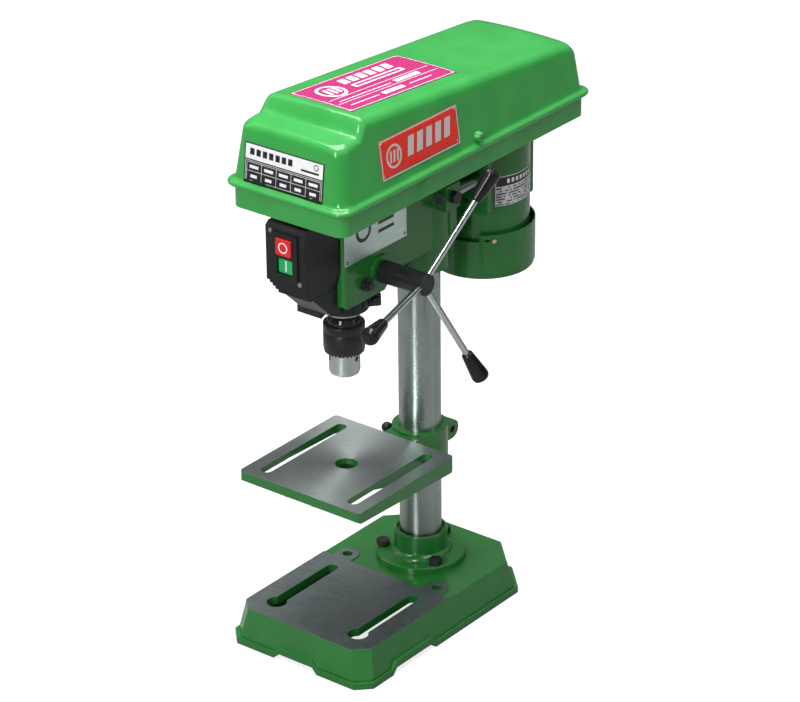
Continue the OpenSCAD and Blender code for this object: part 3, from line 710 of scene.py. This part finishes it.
def build_lid():
    """The pressed lid as one sheet."""
    rings = lid_rings()
    points, faces = strips(rings)
    faces += roof_faces(len(points) - len(rings[0]))
    piece = mesh_piece("lid_shell", points, faces, "lid", "lid")
    shell = piece.modifiers.new("sheet", "SOLIDIFY")
    shell.thickness = LID_SHEET * MM
    shell.offset = -1
    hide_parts("lid")
    return piece


def toothed(turn, teeth):
    """How far a point round the sleeve is on a tooth, from 0 in a gap to 1 on a crest."""
    part = (turn * teeth / TAU) % 1
    return min(max(3.2 * (0.5 - abs(part - 0.5)) - 0.3, 0), 1)


def build_sleeve():
    """The chuck's turned sleeve, with the gear teeth that its key drives cut round the lower edge."""
    low, high = box_mm("chuck_sleeve")
    centre = (low + high) / 2
    outer, inner = (high.x - low.x) / 2, 18.45
    teeth, per_tooth = 30, 8
    outline = [(inner, high.z), (outer - 1.2, high.z), (outer - 0.4, high.z - 0.4),
               (outer, high.z - 1.4), (outer, high.z - 9), (outer - 0.25, high.z - 9.4),
               (outer, high.z - 9.8), (outer, low.z + 7), (outer - 0.2, low.z + 6.4)]
    rings = []
    for k in range(teeth * per_tooth):
        turn = TAU * k / (teeth * per_tooth)
        crest = toothed(turn, teeth)
        edge = [(outer - 0.5 + 0.3 * crest, low.z + 5.2),
                (outer - 1.5 + 0.9 * crest, low.z + 2.6 - 0.5 * crest),
                (outer - 2.4 + 0.7 * crest, low.z + 1.5 - 1.45 * crest),
                (inner + 0.3, low.z + 1.7 - 0.6 * crest), (inner, low.z + 2.4)]
        rings.append([(centre.x + r * math.cos(turn), centre.y + r * math.sin(turn), z)
                      for r, z in outline + edge])
    rings.append(rings[0])
    points, faces = strips(rings)
    count = len(rings[0])
    total = count * (len(rings) - 1)
    faces = [tuple(i % total for i in face) for face in faces]
    piece = mesh_piece("sleeve_turned", points[:total], faces, "black_steel", "chuck_sleeve")
    piece.data.set_sharp_from_angle(angle=math.radians(35))
    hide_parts("chuck_sleeve")


# ---- printed plates ---------------------------------------------------------

PLATE_THICK = 0.6
PRINT_LIFT = 0.66


class Plate:
    """A thin plate laid on the lid. u runs to its right and v up it, in mm from its corner."""

    def __init__(self, name, skin, corner, right, up, width, height, outward):
        self.name, self.skin = name, skin
        self.corner = Vector(corner)
        self.right, self.up, self.outward = (Vector(way).normalized() for way in (right, up, outward))
        self.width, self.height = width, height

    def place(self, u, v, lift):
        """The point on the lid under u, v, raised by lift."""
        start = self.corner + self.right * u + self.up * v + self.outward * 40
        hit, normal, _, _ = self.skin.ray_cast(start * MM, -self.outward)
        if hit is None:
            raise ValueError(f"{self.name} misses the lid at {u}, {v}")
        if normal.dot(self.outward) < 0:
            normal = -normal
        return hit / MM + normal * lift

    def patch(self, corners, lift, step=5.0):
        """Points and faces of a four-cornered patch that follows the lid."""
        a, b, c, d = (Vector(p) for p in corners)
        across = max(1, round(max((b - a).length, (c - d).length) / step))
        along = max(1, round(max((d - a).length, (c - b).length) / step))
        points, faces = [], []
        for j in range(along + 1):
            for i in range(across + 1):
                s, t = i / across, j / along
                p = a * (1 - s) * (1 - t) + b * s * (1 - t) + c * s * t + d * (1 - s) * t
                points.append(self.place(p.x, p.y, lift))
        for j in range(along):
            for i in range(across):
                k = j * (across + 1) + i
                faces.append((k, k + 1, k + across + 2, k + across + 1))
        return points, faces


def rect(u0, v0, u1, v1):
    return [(u0, v0), (u1, v0), (u1, v1), (u0, v1)]


def outline_strokes(u0, v0, u1, v1, line):
    """The four strokes of a rectangular rule."""
    return [rect(u0, v0, u1, v0 + line), rect(u0, v1 - line, u1, v1),
            rect(u0, v0 + line, u0 + line, v1 - line), rect(u1 - line, v0 + line, u1, v1 - line)]


def ring_strokes(u, v, outer, inner):
    """A printed ring, as short strokes."""
    strokes = []
    steps = 24
    for k in range(steps):
        a, b = TAU * k / steps, TAU * (k + 1) / steps
        strokes.append([(u + inner * math.cos(a), v + inner * math.sin(a)),
                        (u + outer * math.cos(a), v + outer * math.sin(a)),
                        (u + outer * math.cos(b), v + outer * math.sin(b)),
                        (u + inner * math.cos(b), v + inner * math.sin(b))])
    return strokes


def slanted(u, v, width, height, lean):
    """A bar whose top is shifted by lean."""
    return [(u, v), (u + width, v), (u + width + lean, v + height), (u + lean, v + height)]


def print_on(plate, name, strokes, look, lift):
    """All the strokes of one ink on a plate, as one thin printed layer."""
    points, faces = [], []
    for stroke in strokes:
        more, quads = plate.patch(stroke, lift)
        faces += [tuple(i + len(points) for i in quad) for quad in quads]
        points += more
    piece = mesh_piece(name, points, faces, look, "lid")


def lay_plate(plate, node, look):
    """The plate itself, in place of its CAD node."""
    points, faces = plate.patch(rect(0, 0, plate.width, plate.height), PLATE_THICK, 4.0)
    piece = mesh_piece(plate.name, points, faces, look, "lid")
    sheet = piece.modifiers.new("thick", "SOLIDIFY")
    sheet.thickness = PLATE_THICK * MM
    sheet.offset = -1
    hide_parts(node)


def rivets(plate, name, inset):
    """Four small domed rivets at a plate's corners."""
    radius, around = 1.3, 12
    points, faces = [], []
    for u in (inset, plate.width - inset):
        for v in (inset, plate.height - inset):
            foot = plate.place(u, v, 0.5)
            out = (plate.place(u, v, 1.5) - foot).normalized()
            side = out.orthogonal().normalized()
            other = out.cross(side)
            start = len(points)
            for level in range(4):
                a = math.radians(30 * level)
                for k in range(around):
                    b = TAU * k / around
                    reach = radius * math.cos(a)
                    points.append(foot + (side * math.cos(b) + other * math.sin(b)) * reach
                                  + out * (0.1 + 0.7 * math.sin(a)))
            for level in range(3):
                ring = start + level * around
                for k in range(around):
                    p, q = ring + k, ring + (k + 1) % around
                    faces.append((p, q, q + around, p + around))
    piece = mesh_piece(name, points, faces, "steel", "lid")


def lid_skin(lid):
    """The lid's surface, to lay plates on."""
    build = bmesh.new()
    build.from_mesh(lid.data)
    skin = BVHTree.FromBMesh(build)
    build.free()
    return skin


def build_top_plate(skin):
    """The magenta plate on the roof: a ringed mark, bars for a title, and rules."""
    low, high = box_mm("top_label")
    plate = Plate("top_plate", skin, (high.x, low.y, 640), (0, 1, 0), (-1, 0, 0),
                  high.y - low.y, high.x - low.x, (0, 0, 1))
    lay_plate(plate, "top_label", "magenta")
    w, h = plate.width, plate.height
    white = outline_strokes(1.2, 1.2, w - 1.2, h - 1.2, 1.0)
    white += ring_strokes(33, 52, 17, 13.5) + [slanted(24 + 7 * k, 44, 4, 16, 3) for k in range(3)]
    white += [slanted(60 + 14 * k, 56, 10, 14, 3) for k in range(6)]
    white += [rect(62, 42, 142, 51)]
    white += [rect(6, 33, w - 6, 33.9), rect(6, 20, w - 6, 20.9)]
    white += [rect(14, 25, 96, 26.4), rect(104, 23.5, 144, 30), rect(14, 11, 60, 12.4),
              rect(66, 8.5, 100, 15), rect(110, 11, 146, 12.4)]
    print_on(plate, "top_plate_print", white, "white_ink", PRINT_LIFT)
    print_on(plate, "top_plate_title", [rect(66, 44.5, 138, 48.5)], "magenta", 0.7)
    rivets(plate, "top_plate_rivets", 3.6)


def build_side_plate(skin):
    """The red plate on the right side: a ringed mark and five leaning bars."""
    low, high = box_mm("side_label")
    plate = Plate("side_plate_red", skin, (LID_HALF, low.y, low.z), (0, 1, 0), (0, 0, 1),
                  high.y - low.y, high.z - low.z, (1, 0, 0))
    lay_plate(plate, "side_label", "red_foil")
    w, h = plate.width, plate.height
    silver = outline_strokes(0, 0, w, h, 1.6)
    silver += ring_strokes(21, h / 2, 12.5, 10.0)
    silver += [slanted(13.5 + 5.5 * k, h / 2 - 6, 3, 12, 2) for k in range(3)]
    silver += [slanted(42 + 15 * k, 13, 9.5, 20, 4) for k in range(5)]
    print_on(plate, "side_plate_print", silver, "silver_ink", PRINT_LIFT)
    rivets(plate, "side_plate_rivets", 3.4)


def build_front_plate(skin):
    """The black and white chart on the front: a title strip over two rows of five boxes."""
    low, high = box_mm("front_label")
    plate = Plate("front_plate", skin, (low.x, -200, low.z), (1, 0, 0), (0, 0, 1),
                  high.x - low.x, high.z - low.z, (0, -1, 0))
    lay_plate(plate, "front_label", "black_ink")
    w, h = plate.width, plate.height
    rule = 0.45
    head = h * 0.60
    white = [rect(1.2, head, w - 1.2, h - 1.2)]
    white += outline_strokes(1.4, 1.4, w - 1.4, head - 1.4, rule)
    white += outline_strokes(3.2, 3.0, w - 3.2, head - 3.0, rule)
    columns = [3.2 + (w - 6.4) * k / 5 for k in range(6)]
    middle = head / 2
    white += [rect(c, 3.0, c + rule, head - 3.0) for c in columns[1:-1]]
    white += [rect(3.2, middle, w - 3.2, middle + rule)]
    for a, b in zip(columns, columns[1:]):
        inset = (b - a) * 0.2
        white.append(rect(a + inset, middle + 3.2, b - inset, middle + 6.4))
        white.append(rect(a + inset * 1.4, middle - 6.6, b - inset * 1.4, middle - 3.4))
    print_on(plate, "front_plate_print", white, "white_ink", PRINT_LIFT)
    black = [rect(7 + 8.2 * k, head + 4.6, 12.6 + 8.2 * k, head + 11.6) for k in range(7)]
    black += ring_strokes(w - 10, head + 10.5, 3.2, 2.2)
    black += [rect(w - 29, head + 3.2, w - 6, head + 5.4)]
    print_on(plate, "front_plate_title", black, "black_ink", 0.72)


# ---- the scene --------------------------------------------------------------

# how far each CAD node's edges are rounded, in millimetres
SOFT_EDGES = {"base": 1.6, "table": 1.3, "head_casting": 2.2, "column_flange": 0.7, "capacitor_box": 1.6,
              "motor_plate": 1.2, "switch_box": 0.8, "red_button": 0.7, "green_button": 0.7,
              "spring_cap": 1.4, "fan_cover": 0.9, "feed_hub": 0.5, "stop_collar": 0.8,
              "side_plate": 0.15, "pulley_pan": 1.0}

looks = make_looks()
for look_name, members in CAD_LOOKS.items():
    for member in members:
        target = nodes[member].data.materials
        if not target:
            target.append(None)
        for slot_index in range(len(target)):
            target[slot_index] = looks[look_name].material
for edge_node, edge_width in SOFT_EDGES.items():
    soften(edge_node, edge_width)

lid_shell = build_lid()
build_sleeve()
lid_surface = lid_skin(lid_shell)
build_top_plate(lid_surface)
build_side_plate(lid_surface)
build_front_plate(lid_surface)

add_floor()
add_camera()
add_world()
for light_name, light_facts in LIGHTS.items():
    add_area_light(light_name, *light_facts)

bpy.context.scene.view_settings.view_transform = "Standard"
